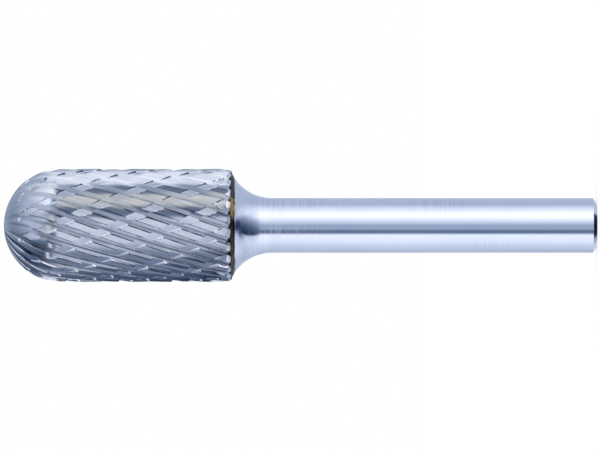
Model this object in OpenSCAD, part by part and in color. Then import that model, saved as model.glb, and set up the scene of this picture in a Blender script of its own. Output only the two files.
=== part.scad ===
// Rotary burr: a hard ball-nosed cutting head with double-cut teeth,
// joined by a thin braze seam to a turned steel shank.
// It stands on the shank's end: +Z runs along the axis to the nose,
// and the origin is the centre of the shank's end face. Millimetres.

/* [Overall] */
// Length from the shank's end face to the tip of the nose
overall_l = 65; // [55:0.5:90]

/* [Head] */
// Diameter of the head over its cutting edges
head_d = 12.4; // [10:0.1:14]
// Length of the head, ball nose and all
head_l = 25; // [20:0.5:30]
// Length along the axis of the bevel round the back edge
bevel_l = 0.3; // [0.1:0.05:0.6]
// How far that bevel comes in from the cutting edges
bevel_in = 0.24; // [0.1:0.02:0.4]

/* [Teeth] */
// Number of teeth, an even number
teeth = 24; // [16:2:30]
// Angle of the right-hand teeth to the axis, in degrees
helix_angle = 19.4; // [10:0.2:30]
// Depth of the gullets between the teeth
gullet_depth = 0.5; // [0.3:0.05:0.7]
// Width of the narrow land behind each cutting edge
land_w = 0.12; // [0.08:0.02:0.3]
// How much lower the back of the land lies than its edge
land_drop = 0.01; // [0:0.01:0.05]
// Depth at the back of the broad flank, where the gullet starts
flank_depth = 0.15; // [0.1:0.01:0.3]
// Angle of a cutting edge round the back face, in degrees
tooth_start = 9.8; // [0:0.1:15]

/* [Chip breakers] */
// Angle of the left-hand chip breakers to the axis, in degrees
breaker_angle = 26; // [18:0.1:32]
// Depth of a chip breaker below the cutting edges
breaker_depth = 0.2; // [0.1:0.02:0.24]
// Width of a chip breaker, along the axis
breaker_w = 1.42; // [0.8:0.02:1.5]
// Length along the axis of a chip breaker's steep side, towards the nose
steep_l = 0.08; // [0.04:0.02:0.16]
// Length along the axis of a chip breaker's slanted side, towards the shank
slant_l = 0.32; // [0.1:0.02:0.5]
// Distance from the back face to the first notch of a tooth
breaker_start = 2.02; // [1.5:0.02:3]
// Angle from the tip, seen from the ball's centre, where the chip breakers end
breaker_end = 45; // [35:1:60]

/* [Braze seam] */
// Thickness of the braze between head and shank
seam_t = 0.3; // [0.2:0.05:0.5]
// How far the seam's wide rim stands proud of the gullet floors
seam_proud = 0.1; // [0:0.02:0.2]
// How much smaller the seam's radius is on the shank side
seam_taper = 0.6; // [0.3:0.05:0.8]

/* [Shank] */
// Diameter of the shank
shank_d = 6; // [5:0.5:8]
// Radius of the hollow flare where the shank widens into the neck
flare_r = 5; // [4.5:0.25:8]
// Length along the axis of the chamfer at the shank's end
chamfer_l = 0.4; // [0.2:0.05:0.8]
// How far that chamfer comes in from the shank's side
chamfer_in = 0.65; // [0.3:0.05:1]

/* [Hidden] */
$fn = 96;

// Heights along the axis
back_z = overall_l - head_l;
seam_z = back_z - seam_t;
head_r = head_d / 2;
ball_z = overall_l - head_r;

// The seam's wide rim follows the gullet floors, and the neck follows the seam
seam_r = head_r - gullet_depth + seam_proud;
neck_r = seam_r - seam_taper;
shank_r = shank_d / 2;
flare_angle = acos(1 - (neck_r - shank_r) / flare_r);
flare_z = seam_z - flare_r * sin(flare_angle);

// Turn of the teeth and of the chip breakers, in degrees a millimetre
circumference = PI * head_d;
tooth_turn = 360 * tan(helix_angle) / circumference;
breaker_turn = 360 * tan(breaker_angle) / circumference;

// With one chip breaker to every two teeth, the notches stand staggered:
// each tooth has one every second notch_pitch, half-way between its neighbours'
tooth_pitch = 360 / teeth;
notch_pitch = tooth_pitch / (tooth_turn + breaker_turn);
// Widest share of the notch_pitch that a notch may take
widest_notch = 0.85;
notch_w = min(breaker_w, widest_notch * notch_pitch);

// Section of one tooth, from its cutting edge back to the next one:
// share of the pitch, depth, and how far a ring of the mesh leans with the breakers
land_share = land_w * teeth / circumference;
flank_share = 0.53;
root_share = 0.86;
SHARES = [0, land_share, flank_share, root_share];
DEPTHS = [0, land_drop, flank_depth, gullet_depth];
LEANS = [0, land_share, flank_share, flank_share / 2] * notch_pitch;
corners = len(SHARES);
columns = teeth * corners;

// The teeth grow shallow over the nose, with this power of the distance from the axis
nose_fade = 1.6;
// Rings of the mesh: notch sides on the body, then even steps over the nose
nose_rings = 5;
breaker_end_z = ball_z + head_r * cos(breaker_end);
notch_rings = [
    for (n = [-2 : ceil(head_l / notch_pitch)])
    for (side = [-notch_w / 2, slant_l - notch_w / 2, notch_w / 2 - steep_l, notch_w / 2])
    back_z + breaker_start + n * notch_pitch + side
];
ring_gap = steep_l / 2;
rings = concat(
    [back_z, back_z + bevel_l],
    [for (z = notch_rings) if (z > back_z + bevel_l + ring_gap && z < breaker_end_z - ring_gap) z],
    [for (n = [nose_rings : -1 : 1]) ball_z + head_r * cos(breaker_end * n / (nose_rings + 1))]
);

function clamp01(x) = min(1, max(0, x));

// How far towards the nose a point lies from the middle of the nearest chip breaker
function past_middle(tooth, share, z) =
    let (half_turns = ((z - back_z - breaker_start) / notch_pitch - share - tooth) / 2)
    (half_turns - round(half_turns)) * 2 * notch_pitch;

function breaker_cut(tooth, share, z) =
    let (
        past = past_middle(tooth, share, z),
        steep = (notch_w / 2 - past) / steep_l,
        slanted = (notch_w / 2 + past) / slant_l
    )
    z > breaker_end_z ? 0 : breaker_depth * clamp01(min(steep, slanted));

// The rings lean only where the breakers run, and lie flat at both ends
function lean(z) = clamp01((z - back_z - bevel_l) / notch_pitch) * clamp01((breaker_end_z - z) / notch_pitch);

function bevel_radius(z) = head_r - bevel_in * clamp01((back_z + bevel_l - z) / bevel_l);

function tooth_point(ring_z, tooth, corner) =
    let (
        share = SHARES[corner],
        z = ring_z + LEANS[corner] * lean(ring_z),
        up = max(0, (z - ball_z) / head_r),
        out = sqrt(1 - up * up),
        tooth_cut = DEPTHS[corner] * pow(out, nose_fade),
        reach = head_r - max(tooth_cut, breaker_cut(tooth, share, z)),
        radius = min(reach * out, bevel_radius(z)),
        angle = tooth_start + tooth_turn * (z - back_z) - tooth_pitch * (tooth + share)
    )
    [radius * cos(angle), radius * sin(angle), up > 0 ? ball_z + reach * up : z];

module carbide_head() {
    points = concat(
        [for (z = rings) for (tooth = [0 : teeth - 1]) for (corner = [0 : corners - 1]) tooth_point(z, tooth, corner)],
        [[0, 0, back_z], [0, 0, overall_l]]
    );
    last = columns * (len(rings) - 1);
    back_centre = columns * len(rings);
    tip = back_centre + 1;
    faces = concat(
        [for (c = [0 : columns - 1]) [back_centre, (c + 1) % columns, c]],
        [for (row = [0 : columns : last - 1]) for (c = [0 : columns - 1]) let (d = (c + 1) % columns)
            each [[row + c, row + d, row + columns + c], [row + d, row + columns + d, row + columns + c]]],
        [for (c = [0 : columns - 1]) [last + c, last + (c + 1) % columns, tip]]
    );
    color([0.60, 0.65, 0.75]) polyhedron(points, faces);
}

module braze_seam() {
    color([0.66, 0.52, 0.22])
        translate([0, 0, seam_z])
            cylinder(h = seam_t, r1 = neck_r, r2 = seam_r);
}

// Half section of the shank, turned about the axis: the end chamfer,
// the plain shank, and the hollow flare cut out of the wide neck
module shank() {
    color([0.80, 0.83, 0.90])
        rotate_extrude()
            union() {
                polygon([
                    [0, 0],
                    [shank_r - chamfer_in, 0],
                    [shank_r, chamfer_l],
                    [shank_r, flare_z],
                    [0, flare_z]
                ]);
                difference() {
                    translate([0, flare_z])
                        square([neck_r, seam_z - flare_z]);
                    translate([shank_r + flare_r, flare_z])
                        circle(r = flare_r);
                }
            }
}

carbide_head();
braze_seam();
shank();
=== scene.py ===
import math
from collections import namedtuple

import bmesh
import bpy
from mathutils import Matrix, Vector


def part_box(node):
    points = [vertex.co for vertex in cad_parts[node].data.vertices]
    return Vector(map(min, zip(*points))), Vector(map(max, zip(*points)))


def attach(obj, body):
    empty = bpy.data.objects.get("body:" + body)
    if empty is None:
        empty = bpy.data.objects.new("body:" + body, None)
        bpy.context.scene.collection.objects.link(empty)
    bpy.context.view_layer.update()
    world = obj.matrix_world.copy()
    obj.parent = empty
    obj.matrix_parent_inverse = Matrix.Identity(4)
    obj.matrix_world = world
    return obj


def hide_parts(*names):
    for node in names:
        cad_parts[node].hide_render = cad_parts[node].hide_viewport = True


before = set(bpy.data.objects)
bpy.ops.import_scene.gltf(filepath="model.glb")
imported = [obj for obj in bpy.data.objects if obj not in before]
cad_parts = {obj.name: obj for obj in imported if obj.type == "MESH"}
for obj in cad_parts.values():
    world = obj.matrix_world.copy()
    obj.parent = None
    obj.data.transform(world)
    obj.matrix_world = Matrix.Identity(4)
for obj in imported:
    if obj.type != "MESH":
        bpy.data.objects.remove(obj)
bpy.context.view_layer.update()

MM = 0.001


# The shank is one piece of bright steel, turned on a lathe: a plain 6 mm bar with a small
# chamfer at its end, which flares out in a hollow curve to a neck as wide as the seam.
shank_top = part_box("shank")[1]
SHANK_R = 3.0 * MM
NECK_R = shank_top.x
FLARE_R = 5.0 * MM
FLARE_STEPS = 24
CHAMFER_L = 0.4 * MM
CHAMFER_IN = 0.65 * MM
TURNED_SIDES = 192
TURNED_CRISP = math.radians(12)
STEEL_LIGHT = (0.66, 0.71, 0.84)
STEEL_WORN = (0.56, 0.62, 0.76)

# The lathe's feed marks, with the cells of noise to the metre that make them. They are
# deepest under the flare, above MARKS_FROM, and elsewhere come and go.
FEED_CELLS = (50, 50, 4200)
FEED_PATCH_CELLS = (160, 160, 90)
WEAR_CELLS = (260, 260, 91)
MARKS_FROM = 27 * MM
MARKS_BLEND = 4 * MM
MARKS_LEAST = 0.2
MARK_DEPTH = 0.01 * MM

# Flux has stained the neck's rim black in runs, and braze has gilded it weakly all round. Beside the seam's
# gold patch, which is a painted highlight at a set angle round the axis, the gilding is painted at full
# strength as part of that highlight, and the black runs are left off.
STAIN_BLACK = (0.012, 0.008, 0.012)
STAIN_DEPTH = 0.25 * MM
STAIN_CELLS = (1100, 1100, 1100)
GILT = (0.62, 0.40, 0.15)
GILT_FULL = 0.16 * MM
GILT_BLEND = 0.06 * MM
GILT_LEAST = 0.3
# Where the seam's painted gold highlight lies round the axis, and half its width
GOLD_HIGHLIGHT_ANGLE = math.radians(22)
GOLD_HIGHLIGHT_HALF = math.radians(10)


class Wire:
    """A value inside a node tree. The signs + - * / join it to another value or to a number."""

    def __init__(self, tree, socket):
        self.tree = tree
        self.socket = socket

    def calc(self, operation, *others):
        node = self.tree.nodes.new("ShaderNodeMath")
        node.operation = operation
        for slot, value in zip(node.inputs, (self, *others)):
            plug_in(self.tree, value, slot)
        return Wire(self.tree, node.outputs[0])

    def __add__(self, other):
        return self.calc("ADD", other)

    def __sub__(self, other):
        return self.calc("SUBTRACT", other)

    def __rsub__(self, other):
        return self.calc("MULTIPLY", -1.0).calc("ADD", other)

    def __mul__(self, other):
        return self.calc("MULTIPLY", other)

    def __truediv__(self, other):
        return self.calc("DIVIDE", other)

    def between_0_and_1(self):
        return self.calc("MINIMUM", 1.0).calc("MAXIMUM", 0.0)

    def rising(self, start, length):
        """0 up to the start, and 1 from this length further on."""
        return ((self - start) / length).between_0_and_1()

    def swing(self, size, middle=0.5):
        """How far it lies from the middle, made this much larger."""
        return (self - middle) * size

    def chosen(self, if_one, if_zero):
        """if_one where this wire is 1, and if_zero where it is 0."""
        return (if_one - if_zero) * self + if_zero


def plug_in(tree, value, slot):
    if isinstance(value, Wire):
        tree.links.new(value.socket, slot)
    else:
        slot.default_value = value


def add_node(tree, kind, inputs=None, **settings):
    node = tree.nodes.new(kind)
    for name, value in settings.items():
        setattr(node, name, value)
    for name, value in (inputs or {}).items():
        plug_in(tree, value, node.inputs[name])
    return node


def wired(tree, kind, inputs=None, output=0, **settings):
    """One output of a new node, as a wire."""
    return Wire(tree, add_node(tree, kind, inputs, **settings).outputs[output])


def object_place(tree):
    return wired(tree, "ShaderNodeTexCoord", output="Object")


def parts_of(tree, vector):
    """The x, y and z of a vector."""
    return [Wire(tree, part) for part in add_node(tree, "ShaderNodeSeparateXYZ", {"Vector": vector}).outputs]


def angle_round(tree, place):
    """The angle round the burr's axis, 0 at its front (-Y) and growing towards +X."""
    x, y, _ = parts_of(tree, place)
    return x.calc("ARCTAN2", y * -1.0)


def ramp(tree, value, stops):
    """A colour that runs through the stops, each a place from 0 to 1 and a colour."""
    node = add_node(tree, "ShaderNodeValToRGB", {"Fac": value})
    while len(node.color_ramp.elements) < len(stops):
        node.color_ramp.elements.new(0.5)
    for element, (place, colour) in zip(node.color_ramp.elements, stops):
        element.position = place
        element.color = (*colour, 1)
    return Wire(tree, node.outputs["Color"])


def covered(tree, under, over, share):
    """The colour under, covered by this share with the colour over."""
    node = add_node(tree, "ShaderNodeMix", {"Factor": share}, data_type="RGBA")
    for slot, colour in zip(node.inputs[6:8], (under, over)):
        plug_in(tree, colour if isinstance(colour, Wire) else (*colour, 1), slot)
    return Wire(tree, node.outputs[2])


def noise(tree, vector, cells, detail=3.0, shift=(0, 0, 0)):
    """Cloudy values round 0.5, with this many cells to one unit of each axis."""
    placed = wired(tree, "ShaderNodeMapping", {"Vector": vector, "Scale": cells, "Location": shift})
    return wired(tree, "ShaderNodeTexNoise", {"Vector": placed, "Scale": 1.0, "Detail": detail}, "Fac")


def bump(tree, height, strength, distance):
    return wired(tree, "ShaderNodeBump", {
        "Height": height, "Strength": strength, "Distance": distance}, "Normal")


def new_material(name, colour, roughness, metallic=1.0):
    material = bpy.data.materials.new(name)
    material.use_nodes = True
    shader = material.node_tree.nodes["Principled BSDF"]
    shader.inputs["Base Color"].default_value = (*colour, 1)
    shader.inputs["Metallic"].default_value = metallic
    shader.inputs["Roughness"].default_value = roughness
    return material, material.node_tree, shader.inputs


def piece_from(build, name, material):
    """An object with the built mesh, in this material. The build is let go."""
    mesh = bpy.data.meshes.new(name)
    build.to_mesh(mesh)
    build.free()
    mesh.materials.append(material)
    piece = bpy.data.objects.new(name, mesh)
    bpy.context.collection.objects.link(piece)
    return piece


def turned(name, profile, material):
    """A closed solid turned about Z. The profile runs up its side, from the axis to the axis."""
    build = bmesh.new()
    rings = []
    for radius, z in profile:
        if radius == 0:
            rings.append([build.verts.new((0, 0, z))] * TURNED_SIDES)
            continue
        turns = [2 * math.pi * n / TURNED_SIDES for n in range(TURNED_SIDES)]
        rings.append([build.verts.new((radius * math.cos(a), radius * math.sin(a), z)) for a in turns])
    for low, high in zip(rings, rings[1:]):
        for n in range(TURNED_SIDES):
            m = (n + 1) % TURNED_SIDES
            corners = [low[n], low[m], high[m], high[n]]
            build.faces.new([c for k, c in enumerate(corners) if c not in corners[:k]])
    build.normal_update()
    for face in build.faces:
        face.smooth = True
    for edge in build.edges:
        edge.smooth = edge.calc_face_angle(0) < TURNED_CRISP
    return piece_from(build, name, material)


def off_the_gold_highlight(tree, place):
    """0 in the middle of the seam's painted gold highlight, and 1 at its two ends."""
    return (angle_round(tree, place) - GOLD_HIGHLIGHT_ANGLE).calc("ABSOLUTE") / GOLD_HIGHLIGHT_HALF


def turned_steel():
    material, tree, inputs = new_material("turned_steel", STEEL_LIGHT, 0.2)
    place = object_place(tree)
    z = parts_of(tree, place)[2]

    rings = noise(tree, place, FEED_CELLS, 4.0)
    ring_patches = noise(tree, place, FEED_PATCH_CELLS, 2.0, shift=(0, 0, 7))
    marked = (z.rising(MARKS_FROM, MARKS_BLEND) + ring_patches.swing(5.0, 0.52)).between_0_and_1()
    marked = marked * (1 - MARKS_LEAST) + MARKS_LEAST
    wear = (rings - 0.5) * marked
    patches = noise(tree, place, WEAR_CELLS, 4.0)
    plug_in(tree, bump(tree, rings * marked, 0.5, MARK_DEPTH), inputs["Normal"])
    rough = (wear * 0.9 + patches.swing(0.12) + 0.13).calc("MAXIMUM", 0.06)
    plug_in(tree, rough, inputs["Roughness"])
    steel = ramp(tree, patches * 0.6 + 0.2 + wear * 1.2, [(0.3, STEEL_WORN), (0.7, STEEL_LIGHT)])

    depth = z * -1.0 + shank_top.z
    runs = noise(tree, place, STAIN_CELLS)
    # Beside the seam's painted gold highlight the gilding is painted at full strength, as part of that
    # highlight, and the black runs are left off
    off = off_the_gold_highlight(tree, place)
    gilt_and_highlight = 1.0 - depth.rising(GILT_FULL, GILT_BLEND)
    gilt_and_highlight = gilt_and_highlight * ((1.0 - off) * 4.0).calc("MAXIMUM", GILT_LEAST).calc("MINIMUM", 1.0)
    stain = ((runs * 1.1 - depth / STAIN_DEPTH) * 6.0).between_0_and_1() * (off * 1.5 + 0.1).between_0_and_1()
    gilded_and_highlit = covered(tree, steel, GILT, gilt_and_highlight)
    plug_in(tree, covered(tree, gilded_and_highlit, STAIN_BLACK, stain), inputs["Base Color"])
    return material


def shank_profile():
    flare_turn = math.acos(1 - (NECK_R - SHANK_R) / FLARE_R)
    flare_z = shank_top.z - FLARE_R * math.sin(flare_turn)
    flare = []
    for n in range(FLARE_STEPS + 1):
        a = flare_turn * n / FLARE_STEPS
        flare.append((SHANK_R + FLARE_R * (1 - math.cos(a)), flare_z + FLARE_R * math.sin(a)))
    return [(0, 0), (SHANK_R - CHAMFER_IN, 0), (SHANK_R, CHAMFER_L), *flare, (0, shank_top.z)]


shank = turned("turned_shank", shank_profile(), turned_steel())
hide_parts("shank")
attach(shank, "root")


# The seam is a thin ring of braze that joins the head to the neck. Its colour is painted: dark brown as
# shade, with blotches, and gold at one side as a highlight.
seam_low, seam_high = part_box("braze_seam")
SEAM_DARK = (0.008, 0.005, 0.006)
SEAM_BROWN = (0.13, 0.06, 0.025)
SEAM_GOLD_HIGHLIGHT = (0.45, 0.26, 0.05)
SEAM_CLOUD_CELLS = (900, 900, 900)
SEAM_DRIP_CELLS = (2600, 2600, 2600)
SEAM_RELIEF = 0.04 * MM


def braze_painted_light():
    material, tree, inputs = new_material("braze_painted_light", SEAM_BROWN, 0.35, metallic=0.5)
    inputs["Specular IOR Level"].default_value = 0.2
    place = object_place(tree)
    cloud = noise(tree, place, SEAM_CLOUD_CELLS, 4.0)
    drips = noise(tree, place, SEAM_DRIP_CELLS)
    # Gold is a painted highlight at one side, and the dark brown elsewhere is painted shade
    from_gold_highlight = (off_the_gold_highlight(tree, place) * 0.45).calc("MINIMUM", 0.7)
    shade = (from_gold_highlight + cloud.swing(0.8) + drips.swing(0.9)).between_0_and_1()
    colour = ramp(tree, shade, [(0, SEAM_GOLD_HIGHLIGHT), (0.36, SEAM_GOLD_HIGHLIGHT), (0.5, SEAM_BROWN), (0.68, SEAM_DARK)])
    plug_in(tree, colour, inputs["Base Color"])
    plug_in(tree, shade * 0.3 + 0.25, inputs["Roughness"])
    plug_in(tree, bump(tree, cloud + drips, 0.6, SEAM_RELIEF), inputs["Normal"])
    return material


seam_profile = [(0, seam_low.z), (NECK_R, seam_low.z), (seam_high.x, seam_high.z), (0, seam_high.z)]
seam = turned("braze_ring", seam_profile, braze_painted_light())
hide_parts("braze_seam")
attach(seam, "root")


# The cutting head is one piece of hard metal with a ball nose. Wheels ground 24 right-hand
# gullets into it, which leave the teeth, and then 12 shallow left-hand chip breakers across
# them, so that every tooth has a notch half-way between its neighbours' notches.
head_low, head_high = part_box("carbide_head")
CELLS_PER_TOOTH = 16
ROWS_PER_NOTCH = 16
NOSE_ROWS = 26
TOOTH_CRISP = math.radians(24)
MERGE_WITHIN = 0.0005 * MM
# The share of a notch's pitch, above the bevel, over which the mesh's rings come to lean
LEAN_START = 0.3
# Added before rounding down, so that a whole number stays whole
JUST_OVER = 0.0001

head_sizes = {
    "Head Radius": (head_high.x - head_low.x) / 2,
    "Back Height": head_low.z,
    "Tip Height": head_high.z,
    "Bevel Length": 0.3 * MM,
    "Bevel Depth": 0.24 * MM,
    "Teeth": 24,
    "Helix Angle": math.radians(19.4),
    "Tooth Start": math.radians(9.8),
    "Gullet Depth": 0.5 * MM,
    "Nose Fade": 1.6,
    "Breaker Angle": math.radians(26),
    "Breaker Depth": 0.2 * MM,
    "Breaker Width": 1.42 * MM,
    "Breaker Steep Side": 0.06 * MM,
    "Breaker Slanted Side": 0.33 * MM,
    "Breaker Start": 2.02 * MM,
    "Breaker End": math.radians(45),
}

# One tooth's section, from its cutting edge (0) back to the next one (1): where each column
# of the mesh stands, how deep the metal is ground away there, and how far along the axis a
# ring of the mesh leans there, as a share of a notch's pitch
COLUMN_STOPS = [
    (0, 0), (1, 0.08), (5, 0.53), (6, 0.573), (8, 0.823), (9, 0.834), (10, 0.847), (11, 0.860),
    (12, 0.871), (13, 0.878), (16, 1)]
DEPTH_STOPS = [
    (0, 0), (0.08, 0.015), (0.53, 0.30), (0.823, 0.98), (0.834, 1), (0.847, 1), (0.860, 0.99),
    (0.871, 0.965), (0.878, 0.93), (1, 0)]
LEAN_STOPS = [(0, 0.1), (0.6, 0.7), (0.93, 0.03), (1, 0.1)]
# The rows from one chip breaker's middle to the next, with rows on the edges of its sides
ROW_STOPS = [(0, 0), (4, 0.3366), (5, 0.3677), (9, 0.6323), (12, 0.8032), (16, 1)]
# Where the section gets painted shade: the land and the flank's back edge, the root, and the gullet
CREST_SHADE_STOPS = [(0, 1), (0.075, 1), (0.095, 0), (0.51, 0), (0.52, 1), (0.555, 1), (0.565, 0), (1, 0)]
ROOT_SHADE_STOPS = [(0, 0), (0.85, 0), (0.855, 1), (0.88, 1), (0.89, 0), (1, 0)]
GULLET_SHADE_STOPS = [(0, 0), (0.5, 0), (0.6, 1), (0.95, 1), (0.975, 0), (1, 0)]

CARBIDE_LIGHT = (0.62, 0.66, 0.74)
CARBIDE_DARK = (0.30, 0.34, 0.42)
# The next two are painted shade, for the crease lines and for the nose's gullets
CARBIDE_CREASE_SHADE = (0.04, 0.04, 0.055)
CARBIDE_GULLET_SHADE = (0.045, 0.07, 0.125)
# Painted shade along the teeth's crease lines is left off along one side and on the nose. Away from that
# side, the nose's gullets get painted shade.
UNSHADED_FROM = math.radians(16)
UNSHADED_TO = math.radians(110)
UNSHADED_BLEND = math.radians(8)
GULLET_SHADE_FULL_TO = math.radians(-28)
GULLET_SHADE_BLEND = math.radians(22)
NOSE_FROM = 58.5 * MM
NOSE_BLEND = 3 * MM
# Cells of noise to one tooth and to one head radius along it, or to the metre each way
CREASE_CELLS = (2.5, 5, 1)
GRINDING_CELLS = (26, 0.9, 1)
STREAK_CELLS = (7, 1.6, 1)
CLOUD_CELLS = (420, 420, 420)
SOOT_CELLS = (1500, 1500, 1500)
SOOT_REACH = 0.6 * MM
SOOT_BLEND = 0.05 * MM
BEVEL_MATT_TO = 0.25 * MM
BEVEL_MATT_BLEND = 0.03 * MM
GRINDING_DEPTH = 0.03 * MM


def stepped_curve(tree, value, stops, unit=1):
    """Straight lines through the stops, from 0 to 1 of the value. The stops' places are
    counted in this unit."""
    node = tree.nodes.new("ShaderNodeFloatCurve")
    curve = node.mapping.curves[0]
    while len(curve.points) < len(stops):
        curve.points.new(0.5, 0.5)
    for point, (x, y) in zip(curve.points, stops):
        point.location = (x / unit, y)
        point.handle_type = "VECTOR"
    node.mapping.update()
    tree.links.new(value.socket, node.inputs["Value"])
    return Wire(tree, node.outputs[0])


def keep(tree, geometry, name, value, domain="POINT", data_type="FLOAT"):
    """The geometry, with the value kept on it under this name."""
    return wired(tree, "GeometryNodeStoreNamedAttribute", {
        "Geometry": geometry, "Name": name, "Value": value}, domain=domain, data_type=data_type)


def recall(tree, name):
    return wired(tree, "GeometryNodeInputNamedAttribute", {"Name": name}, data_type="FLOAT")


def worked_out(size):
    """The measures that follow from the named ones: turns and pitches round the axis, and
    heights and a pitch along it."""
    head_r = size["Head Radius"]
    tooth_turn = size["Helix Angle"].calc("TANGENT") / head_r
    breaker_turn = size["Breaker Angle"].calc("TANGENT") / head_r
    tooth_pitch = (size["Teeth"] * (0.5 / math.pi)).calc("POWER", -1.0)
    ball_z = size["Tip Height"] - head_r
    return {
        "Tooth Turn": tooth_turn,
        "Tooth Pitch": tooth_pitch,
        "Notch Pitch": tooth_pitch / (tooth_turn + breaker_turn),
        "Bevel Top": size["Back Height"] + size["Bevel Length"],
        "First Notch": size["Back Height"] + size["Breaker Start"],
        "Nose Start": ball_z + head_r * size["Breaker End"].calc("COSINE"),
        "Ball Height": ball_z,
    }


def strip_grid(tree, size):
    """A grid whose columns cross two teeth, and whose rows climb from the centre of the back
    face, over the bevel and the body, to the tip. It comes with each point's row, tooth,
    share of the tooth's section, and height."""
    notch_pitch = size["Notch Pitch"]
    first_notch = size["First Notch"]
    nose_start = size["Nose Start"]
    spans_below = ((first_notch - size["Bevel Top"]) / notch_pitch).calc("CEIL")
    spans = spans_below + ((nose_start - first_notch) / notch_pitch).calc("CEIL")

    # The first two rows are the back face's centre and its rim
    row_count = spans * ROWS_PER_NOTCH + (2.0 + NOSE_ROWS)
    grid = wired(tree, "GeometryNodeMeshGrid", {
        "Vertices X": 2 * CELLS_PER_TOOTH + 1, "Vertices Y": row_count}, "Mesh")
    index = wired(tree, "GeometryNodeInputIndex")
    column = (index / row_count + JUST_OVER).calc("FLOOR")
    row = index - column * row_count
    tooth = (column / CELLS_PER_TOOTH + JUST_OVER).calc("FLOOR")
    share = stepped_curve(tree, column / CELLS_PER_TOOTH - tooth, COLUMN_STOPS, CELLS_PER_TOOTH)

    steps = (row - 2.0) / ROWS_PER_NOTCH
    whole_steps = (steps + JUST_OVER).calc("FLOOR")
    part_step = stepped_curve(tree, steps - whole_steps, ROW_STOPS, ROWS_PER_NOTCH)
    body_z = first_notch + (whole_steps - spans_below + part_step) * notch_pitch
    body_z = body_z.calc("MAXIMUM", size["Bevel Top"]).calc("MINIMUM", nose_start)
    nose_left = (row_count - 1.0 - row) / NOSE_ROWS
    nose_z = size["Ball Height"] + size["Head Radius"] * (size["Breaker End"] * nose_left).calc("COSINE")
    ring_z = nose_left.calc("GREATER_THAN", 1.01).chosen(body_z, nose_z)
    ring_z = row.calc("LESS_THAN", 1.5).chosen(size["Back Height"], ring_z)
    return grid, row, tooth, share, ring_z


def breaker_depth(size, tooth, share, z):
    """The chip breakers' depth at a point. Their side towards the nose is steep, and their
    other side slants."""
    notch_pitch = size["Notch Pitch"]
    half_turns = ((z - size["First Notch"]) / notch_pitch - share - tooth) / 2.0
    past_middle = (half_turns - half_turns.calc("ROUND")) * 2.0 * notch_pitch
    half_width = size["Breaker Width"] / 2.0
    steep = (half_width - past_middle) / size["Breaker Steep Side"]
    slanted = (half_width + past_middle) / size["Breaker Slanted Side"]
    depth = steep.calc("MINIMUM", slanted).between_0_and_1() * size["Breaker Depth"]
    return depth * z.calc("LESS_THAN", size["Nose Start"])


def tooth_strip(tree, size):
    """The grid, shaped into two teeth, with the values for the material and the UV map on it."""
    grid, row, tooth, share, ring_z = strip_grid(tree, size)
    head_r = size["Head Radius"]
    ball_z = size["Ball Height"]
    notch_pitch = size["Notch Pitch"]

    # Between the bevel and the nose the rings lean with the chip breakers
    lean_low = ring_z.rising(size["Bevel Top"], notch_pitch * LEAN_START)
    lean_high = ((size["Nose Start"] - ring_z) / notch_pitch).between_0_and_1()
    leaning = stepped_curve(tree, share, LEAN_STOPS) - LEAN_STOPS[0][1]
    z = ring_z + leaning * notch_pitch * lean_low * lean_high

    # The cuts grow shallow over the nose, towards the tip
    up = ((z - ball_z) / head_r).calc("MAXIMUM", 0.0).calc("MINIMUM", 1.0)
    out = (up * up * -1.0 + 1.0).calc("MAXIMUM", 0.0).calc("SQRT")
    fade = out.calc("POWER", size["Nose Fade"])
    hollow = stepped_curve(tree, share, DEPTH_STOPS)
    tooth_cut = hollow * size["Gullet Depth"] * fade
    breaker_cut = breaker_depth(size, tooth, share, z)
    reach = head_r - tooth_cut.calc("MAXIMUM", breaker_cut)

    bevel = ((size["Bevel Top"] - z) / size["Bevel Length"]).between_0_and_1()
    radius = (reach * out).calc("MINIMUM", head_r - bevel * size["Bevel Depth"])
    radius = radius * row.calc("GREATER_THAN", 0.5)
    height = up.calc("GREATER_THAN", 0.0).chosen(ball_z + reach * up, z)
    start = size["Tooth Start"] + size["Tooth Turn"] * (z - size["Back Height"])
    angle = start - size["Tooth Pitch"] * (tooth + share)
    place = wired(tree, "ShaderNodeCombineXYZ", {
        "X": radius * angle.calc("COSINE"), "Y": radius * angle.calc("SINE"), "Z": height})

    strip = keep(tree, grid, "hollow", hollow)
    strip = keep(tree, strip, "notched", breaker_cut.calc("GREATER_THAN", tooth_cut))
    strip = keep(tree, strip, "across", tooth + share)
    strip = keep(tree, strip, "along", z / head_r)
    return wired(tree, "GeometryNodeSetPosition", {"Geometry": strip, "Position": place})


def ring_of_strips(tree, size, strip):
    """The whole head: a dozen strips side by side round the axis, with their edges joined.
    Its UV map counts the teeth one way and head radii along the axis the other way."""
    points = wired(tree, "GeometryNodePoints", {"Count": size["Teeth"] / 2.0})
    which = wired(tree, "GeometryNodeInputIndex")
    facing = wired(tree, "ShaderNodeCombineXYZ", {"Z": which * size["Tooth Pitch"] * -2.0})
    ring = wired(tree, "GeometryNodeInstanceOnPoints", {
        "Points": points, "Instance": strip, "Rotation": facing})
    counted = keep(tree, ring, "pair", which, domain="INSTANCE")
    whole = wired(tree, "GeometryNodeRealizeInstances", {"Geometry": counted})
    flat_place = wired(tree, "ShaderNodeCombineXYZ", {
        "X": recall(tree, "pair") * 2.0 + recall(tree, "across"), "Y": recall(tree, "along")})
    marked = keep(tree, whole, "UVMap", flat_place, "CORNER", "FLOAT2")
    joined = wired(tree, "GeometryNodeMergeByDistance", {"Geometry": marked, "Distance": MERGE_WITHIN})
    return wired(tree, "GeometryNodeFlipFaces", {"Mesh": joined})


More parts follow.
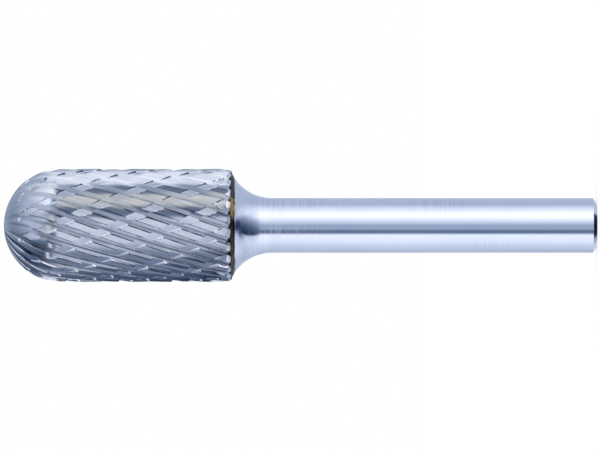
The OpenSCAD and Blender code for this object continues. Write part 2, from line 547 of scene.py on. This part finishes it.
def teeth_tree(sizes):
    tree = bpy.data.node_groups.new("double_cut_teeth", "GeometryNodeTree")
    tree.interface.new_socket(name="Geometry", in_out="OUTPUT", socket_type="NodeSocketGeometry")
    for name, value in sizes.items():
        kind = "NodeSocketInt" if isinstance(value, int) else "NodeSocketFloat"
        tree.interface.new_socket(name=name, in_out="INPUT", socket_type=kind)
    tree.interface.new_socket(name="Finish", in_out="INPUT", socket_type="NodeSocketMaterial")
    entry = tree.nodes.new("NodeGroupInput")
    size = {name: Wire(tree, entry.outputs[name]) for name in sizes}
    size.update(worked_out(size))

    whole = ring_of_strips(tree, size, tooth_strip(tree, size))
    smooth = wired(tree, "GeometryNodeSetShadeSmooth", {"Geometry": whole})
    bend = wired(tree, "GeometryNodeInputMeshEdgeAngle", output="Unsigned Angle")
    crisp = wired(tree, "GeometryNodeSetShadeSmooth", {
        "Geometry": smooth, "Selection": bend.calc("GREATER_THAN", TOOTH_CRISP),
        "Shade Smooth": False}, domain="EDGE")
    finish = Wire(tree, entry.outputs["Finish"])
    finished = wired(tree, "GeometryNodeSetMaterial", {"Geometry": crisp, "Material": finish})
    add_node(tree, "NodeGroupOutput", {"Geometry": finished})
    return tree


def ground_carbide():
    material, tree, inputs = new_material("ground_carbide", CARBIDE_LIGHT, 0.2)
    flat = wired(tree, "ShaderNodeUVMap", uv_map="UVMap")
    place = object_place(tree)
    hollow = wired(tree, "ShaderNodeAttribute", output="Fac", attribute_name="hollow")
    notched = wired(tree, "ShaderNodeAttribute", output="Fac", attribute_name="notched")
    share = parts_of(tree, flat)[0].calc("FRACT")
    height = parts_of(tree, place)[2]
    side = angle_round(tree, place)

    # Thin dark lines of painted shade follow the narrow land, the flank's back edge and the root of the
    # gullet
    crests = stepped_curve(tree, share, CREST_SHADE_STOPS)
    roots = stepped_curve(tree, share, ROOT_SHADE_STOPS)
    gullets = stepped_curve(tree, share, GULLET_SHADE_STOPS)
    unshaded_side = side.rising(UNSHADED_FROM, UNSHADED_BLEND) - side.rising(UNSHADED_TO, UNSHADED_BLEND)
    nose = height.rising(NOSE_FROM, NOSE_BLEND)
    painted_shade_side = 1.0 - unshaded_side
    wander = noise(tree, flat, CREASE_CELLS, shift=(1, 5, 0))
    painted_crease_shade = (crests * (1.0 - notched) + roots) * (wander * 1.6 + 0.1).between_0_and_1()
    painted_crease_shade = (painted_crease_shade * painted_shade_side * (1.0 - nose)).between_0_and_1()
    # Away from that side, the nose's gullets are painted dark as shade
    gullet_shade_side = (1.0 - side.rising(GULLET_SHADE_FULL_TO, GULLET_SHADE_BLEND)) * painted_shade_side
    painted_gullet_shade = gullets * nose * gullet_shade_side * (wander * 1.2 + 0.5).between_0_and_1()

    # The wheel leaves fine lines along each tooth, and the metal is rougher down in the gullets and painted
    # darker there as shade
    lines = noise(tree, flat, GRINDING_CELLS, 4.0)
    streaks = noise(tree, flat, STREAK_CELLS, shift=(3, 1, 0))
    clouds = noise(tree, place, CLOUD_CELLS)
    shade = (hollow * 0.06 + streaks.swing(0.9) + clouds.swing(0.4) + 0.12).between_0_and_1()
    metal = ramp(tree, shade, [(0, CARBIDE_LIGHT), (1, CARBIDE_DARK)])

    # Soot has run a little way up the gullets from the seam, and the back bevel is matt
    above_back = height - head_low.z
    runs = noise(tree, place, SOOT_CELLS)
    soot = ((hollow * runs * SOOT_REACH - above_back) / SOOT_BLEND).between_0_and_1()
    bevel = 1.0 - above_back.rising(BEVEL_MATT_TO, BEVEL_MATT_BLEND)
    # The gullets' painted shade goes on here, then the crease lines' painted shade and the soot in one dark
    # colour
    gullet_shaded = covered(tree, metal, CARBIDE_GULLET_SHADE, painted_gullet_shade)
    soot_and_shade = covered(tree, gullet_shaded, CARBIDE_CREASE_SHADE, painted_crease_shade.calc("MAXIMUM", soot))
    plug_in(tree, soot_and_shade, inputs["Base Color"])
    plug_in(tree, clouds * 0.10 + hollow * 0.05 + 0.06 + bevel * 0.4, inputs["Roughness"])
    plug_in(tree, bump(tree, lines + streaks * 0.6, 0.12, GRINDING_DEPTH), inputs["Normal"])
    return material


def grown(name, tree, values):
    """A plain mesh object made by the tree with these values on its named inputs."""
    seed = bpy.data.objects.new(name + "_seed", bpy.data.meshes.new(name + "_seed"))
    bpy.context.collection.objects.link(seed)
    grower = seed.modifiers.new("grow", "NODES")
    grower.node_group = tree
    for item in tree.interface.items_tree:
        if item.in_out == "INPUT" and item.name in values:
            grower[item.identifier] = values[item.name]
    evaluated = seed.evaluated_get(bpy.context.evaluated_depsgraph_get())
    mesh = bpy.data.meshes.new_from_object(evaluated)
    mesh.name = name
    piece = bpy.data.objects.new(name, mesh)
    bpy.context.collection.objects.link(piece)
    bpy.data.objects.remove(seed)
    return piece


head = grown("cutting_head", teeth_tree(head_sizes), {**head_sizes, "Finish": ground_carbide()})
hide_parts("carbide_head")
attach(head, "root")


# The burr stands on a white floor in white surroundings. Rings of cards stand round it,
# one above another, which only its metal sees.
PIT_Z = -10 * MM
NEAR_R = 105 * MM
NEAR_TOP = 40.35 * MM
FAR_R = 2000 * MM
HEAD_Z = 50 * MM
CARD_STEP = 3.75
CAMERA_FAR = 635 * MM
CAMERA_Z = 23.2 * MM

# A circle round the burr, with its shades: each an angle in degrees and the colour there. The
# angle is 0 towards the camera, and grows towards the photograph's lower edge.
Circle = namedtuple("Circle", "radius height shades")


def cool(level):
    """A grey of this brightness, which turns bluer as it gets darker."""
    return (0.96 * level ** 1.15, level, 1.08 * level ** 0.8)


GLARE = cool(1.6)
LAMP = cool(1.38)
WHITE = cool(1.2)
BRIGHT = cool(1.08)
PALE = cool(0.98)
LIGHT = cool(0.86)
MEDIUM = cool(0.76)
SOFT = cool(0.67)
MIST = cool(0.6)
GREY = cool(0.55)
SLATE = cool(0.42)
STEEL = cool(0.30)
SHADE = cool(0.25)
DEEP = cool(0.2)
DARK = cool(0.12)
NAVY = cool(0.05)
BLACK = cool(0.012)
WARM = (0.98, 0.94, 0.87)
BUFF = (0.86, 0.83, 0.77)


def bare_material(name):
    material = bpy.data.materials.new(name)
    material.use_nodes = True
    material.node_tree.nodes.clear()
    return material, material.node_tree


def blended(tree, low, high):
    """The shades of the low circle, which turn into the high one's on the way up to it."""
    x, y, height = parts_of(tree, object_place(tree))
    turn = (x * -1.0).calc("ARCTAN2", y * -1.0) / (2 * math.pi) + 0.5
    low_shade, high_shade = (
        ramp(tree, turn, [(angle / 360 + 0.5, colour) for angle, colour in circle.shades])
        for circle in (low, high))
    outward = high.radius - low.radius
    upward = high.height - low.height
    length = outward ** 2 + upward ** 2
    distance = (x * x + y * y).calc("SQRT")
    risen = (distance - low.radius) * (outward / length) + (height - low.height) * (upward / length)
    return covered(tree, low_shade, high_shade, risen.between_0_and_1())


def card_finish(name, low, high, one_sided):
    """Glows in the circles' shades. A single shade that both share fills the card."""
    material, tree = bare_material(name)
    plain = low.shades == high.shades and len(low.shades) == 1
    colour = (*low.shades[0][1], 1) if plain else blended(tree, low, high)
    glow = wired(tree, "ShaderNodeEmission", {"Color": colour})
    if one_sided:
        below = wired(tree, "ShaderNodeNewGeometry", output="Backfacing")
        either = add_node(tree, "ShaderNodeMixShader", {"Fac": below})
        plug_in(tree, glow, either.inputs[1])
        plug_in(tree, wired(tree, "ShaderNodeBsdfTransparent"), either.inputs[2])
        glow = Wire(tree, either.outputs[0])
    add_node(tree, "ShaderNodeOutputMaterial", {"Surface": glow})
    return material


def cards_between(name, low, high, sector=(-180, 180), one_sided=False):
    """A band of cards seen only in reflections, from one circle to the other. It fills the
    sector, and a one-sided one is seen only from above."""
    first, last = sector
    steps = round((last - first) / CARD_STEP)
    turns = [math.radians(first + (last - first) * n / steps) for n in range(steps + 1)]
    build = bmesh.new()
    lower, upper = (
        [build.verts.new((-c.radius * math.sin(a), -c.radius * math.cos(a), c.height)) for a in turns]
        for c in (low, high))
    for n in range(steps):
        build.faces.new((lower[n], lower[n + 1], upper[n + 1], upper[n]))
    build.normal_update()
    for face in build.faces:
        if face.normal.z < 0:
            face.normal_flip()
    piece = piece_from(build, name, card_finish(name, low, high, one_sided))
    piece.visible_camera = False
    piece.visible_diffuse = False
    piece.visible_shadow = False


def cards_on(kind, circles):
    for n, (low, high) in enumerate(zip(circles, circles[1:])):
        cards_between(f"{kind}_cards_{n}", low, high)


# A dark skirt slopes down from the back of the head. Only the teeth's front faces see it.
SKIRT_R = 6.6 * MM
SKIRT_SECTOR = (-42, 65)
HEM = [(-180, DARK), (-42, DEEP), (-30, DARK), (28, DARK), (38, NAVY), (65, NAVY), (180, NAVY)]
cards_between(
    "skirt", Circle(SKIRT_R, NEAR_TOP, HEM), Circle(NEAR_R, 0, HEM), SKIRT_SECTOR, one_sided=True)

# Bright slats climb outwards, edge-on to what upright metal reflects. Faces of the teeth
# that lean down see them, and they draw a thin bright line along the root of each gullet.
SLATS = 9
SLAT_LOW = 38 * MM
SLAT_GAP = 2.2 * MM
SLAT_IN = 40 * MM
SLAT_SECTOR = (9, 40)
GLINT = [(0, WHITE)]
for n in range(SLATS):
    z = SLAT_LOW + SLAT_GAP * n
    slope = (z - CAMERA_Z) / CAMERA_FAR
    inner, outer = (Circle(radius, z + slope * radius, GLINT) for radius in (SLAT_IN, NEAR_R))
    cards_between(f"slat_{n}", inner, outer, SLAT_SECTOR, one_sided=True)

# The shank, the neck and the teeth's front faces see the near ring, and the dark and pale
# cards in the pit under the floor. The floor itself doesn't show in their reflections.
WALL = [
    (-180, SOFT), (-96, SOFT), (-76, BRIGHT), (-60, LAMP), (-51, GLARE), (-38, GLARE), (-28, LAMP),
    (-18, BRIGHT), (-9, LIGHT), (0, GREY), (6, GREY), (11, MIST), (18, SLATE), (23, SHADE), (26, DEEP),
    (30, DEEP), (33, SLATE), (38, BRIGHT), (43, LAMP), (72, WHITE), (90, PALE), (112, LIGHT), (140, SOFT),
    (180, SOFT)]
cards_on("near", [
    Circle(0.5 * MM, PIT_Z, [(-180, BLACK), (180, BLACK)]),
    Circle(6.4 * MM, PIT_Z, [(-180, BLACK), (-100, NAVY), (100, NAVY), (180, BLACK)]),
    Circle(7.2 * MM, PIT_Z, [
        (-180, LIGHT), (-143, LIGHT), (-130, GREY), (-62, DEEP), (-10, NAVY), (40, DARK), (110, SLATE),
        (180, SLATE)]),
    Circle(14 * MM, PIT_Z, [
        (-180, SOFT), (-130, SOFT), (-95, PALE), (-77, PALE), (-60, GREY), (-37, STEEL), (-6, DARK),
        (27, NAVY), (55, NAVY), (72, DEEP), (86, SOFT), (100, LIGHT), (180, LIGHT)]),
    Circle(32 * MM, PIT_Z, [
        (-180, SOFT), (-105, SOFT), (-75, PALE), (-59, WHITE), (-42, MEDIUM), (-23, SLATE), (-3, DEEP),
        (14, DARK), (34, NAVY), (45, NAVY), (51, LIGHT), (70, PALE), (100, LIGHT), (135, BRIGHT),
        (180, SOFT)]),
    Circle(62 * MM, PIT_Z, [
        (-180, SOFT), (-93, SOFT), (-70, BRIGHT), (-55, WHITE), (-36, WHITE), (-20, SOFT), (-5, SLATE),
        (14, DEEP), (32, DARK), (41, DARK), (46, PALE), (85, PALE), (110, MEDIUM), (180, SOFT)]),
    Circle(NEAR_R, PIT_Z, WALL),
    Circle(NEAR_R, NEAR_TOP, WALL),
])

# The far rings stand one above another, each for faces of the head that lean further back:
# notch floors and lands, flanks, the nose, the teeth's steep backs, and the tip
FOR_FLOORS = [
    (-180, STEEL), (-146, SLATE), (-132, PALE), (-118, WHITE), (-108, BRIGHT), (-98, SOFT), (-68, SOFT),
    (-62, BUFF), (-46, BUFF), (-40, MEDIUM), (-32, MEDIUM), (-20, PALE), (0, LIGHT), (20, MEDIUM),
    (34, GREY), (50, SLATE), (62, STEEL), (125, STEEL), (150, DEEP), (180, STEEL)]
FOR_FLANKS = [
    (-180, STEEL), (-152, SLATE), (-138, SOFT), (-122, BRIGHT), (-112, WHITE), (-80, WHITE), (-73, PALE),
    (-68, DEEP), (-48, DEEP), (-43, WARM), (-20, BUFF), (-16, DEEP), (3, DEEP), (8, PALE), (55, PALE),
    (64, MEDIUM), (76, SLATE), (86, STEEL), (130, STEEL), (180, STEEL)]
FOR_NOSE = [
    (-180, STEEL), (-150, STEEL), (-130, BRIGHT), (-100, PALE), (-60, MEDIUM), (-30, MEDIUM), (-20, SLATE),
    (4, SLATE), (20, SOFT), (34, SOFT), (40, STEEL), (60, STEEL), (100, DEEP), (122, DARK), (180, DARK)]


def for_backs(*strip):
    """The shades for the teeth's steep backs, round a strip that differs from ring to ring."""
    return [
        (-180, DEEP), (-150, STEEL), (-130, MEDIUM), (-100, MEDIUM), (-75, BRIGHT), (-50, LAMP), (-29, LAMP),
        (-25, SLATE), (-6, SLATE), (4, BUFF), (30, BUFF), (37, DEEP), *strip, (115, DARK), (150, DARK),
        (180, SLATE)]


def seen_at(degrees, shades, radius=FAR_R):
    """The far circle that a ray from the head meets when it climbs at this angle. A smaller
    radius brings it in at the same height."""
    return Circle(radius, HEAD_Z + FAR_R * math.tan(math.radians(degrees)), shades)


cards_on("far", [
    seen_at(-8, FOR_FLOORS),
    seen_at(4.2, FOR_FLOORS),
    seen_at(5.2, FOR_FLANKS),
    seen_at(12, FOR_FLANKS),
    seen_at(13.5, FOR_NOSE),
    seen_at(16.5, FOR_NOSE),
    seen_at(17.5, for_backs((72, DARK), (77, WHITE), (92, BRIGHT), (97, SLATE))),
    seen_at(20.7, for_backs((60, DARK), (65, WHITE), (84, WHITE), (89, DARK))),
    seen_at(24.5, for_backs((55, DARK), (59, WHITE), (67, WHITE), (71, DARK))),
    seen_at(25.5, for_backs((88, DARK))),
    seen_at(29, [
        (-180, GREY), (-110, GREY), (-80, PALE), (-58, WHITE), (-30, WHITE), (-18, PALE), (0, GREY),
        (20, MEDIUM), (45, SOFT), (58, DEEP), (80, DARK), (130, DARK), (150, STEEL), (170, GREY)]),
    seen_at(40, [
        (-180, SLATE), (-130, GREY), (-80, LIGHT), (-60, BRIGHT), (-20, BRIGHT), (0, MEDIUM), (45, MEDIUM),
        (62, STEEL), (80, DEEP), (130, DEEP), (170, SLATE)], radius=FAR_R * 0.9),
    seen_at(48, [
        (-180, SLATE), (-140, SLATE), (-60, SOFT), (0, SOFT), (40, MEDIUM), (70, SLATE), (130, STEEL),
        (180, SLATE)], radius=FAR_R * 0.5),
    seen_at(50, [(-180, GREY), (180, GREY)], radius=1 * MM),
])

# The floor is white to the camera, and still shaded where the burr blocks the light
FLOOR_R = 3.0
FLOOR_SIDES = 64
FLOOR_GREY = (0.5, 0.5, 0.5, 1)
FLOOR_GLOW = 0.55
STUDIO_WHITE = (1, 1, 1, 1)


def white_floor():
    material, tree = bare_material("white_floor")
    seen = wired(tree, "ShaderNodeLightPath", output="Is Camera Ray")
    paint = wired(tree, "ShaderNodeBsdfDiffuse", {"Color": FLOOR_GREY})
    glow = wired(tree, "ShaderNodeEmission", {"Color": STUDIO_WHITE, "Strength": seen * FLOOR_GLOW})
    both = tree.nodes.new("ShaderNodeAddShader")
    plug_in(tree, paint, both.inputs[0])
    plug_in(tree, glow, both.inputs[1])
    add_node(tree, "ShaderNodeOutputMaterial", {"Surface": Wire(tree, both.outputs[0])})
    build = bmesh.new()
    bmesh.ops.create_circle(build, cap_ends=True, segments=FLOOR_SIDES, radius=FLOOR_R)
    floor = piece_from(build, "floor", material)
    floor.visible_glossy = False


def white_world():
    world = bpy.data.worlds.new("studio")
    bpy.context.scene.world = world
    world.use_nodes = True
    background = world.node_tree.nodes["Background"]
    background.inputs["Color"].default_value = STUDIO_WHITE
    background.inputs["Strength"].default_value = 1.0


white_floor()
white_world()


# The camera stands level with the shank and is turned on its side, so that the standing
# burr lies across the picture with its nose to the left, as in the photograph.
CAMERA_X = 0.046 * MM
AIM_Z = 32.51 * MM
PHOTO_WIDTH = 65.8 * MM
SENSOR_MM = 36
NEAREST = 0.01
FARTHEST = 10
camera_data = bpy.data.cameras.new("camera")
camera = bpy.data.objects.new("camera", camera_data)
bpy.context.collection.objects.link(camera)
bpy.context.scene.camera = camera
eye = Vector((CAMERA_X, -CAMERA_FAR, CAMERA_Z))
ahead = (Vector((CAMERA_X, 0, AIM_Z)) - eye).normalized()
down = Vector((0, 0, -1))
right = (down - ahead * down.dot(ahead)).normalized()
above = right.cross(ahead)
camera.matrix_world = Matrix.Translation(eye) @ Matrix((right, above, -ahead)).transposed().to_4x4()
camera_data.sensor_width = SENSOR_MM
camera_data.lens = SENSOR_MM * CAMERA_FAR / PHOTO_WIDTH
camera_data.clip_start = NEAREST
camera_data.clip_end = FARTHEST

bpy.context.scene.view_settings.view_transform = "Standard"
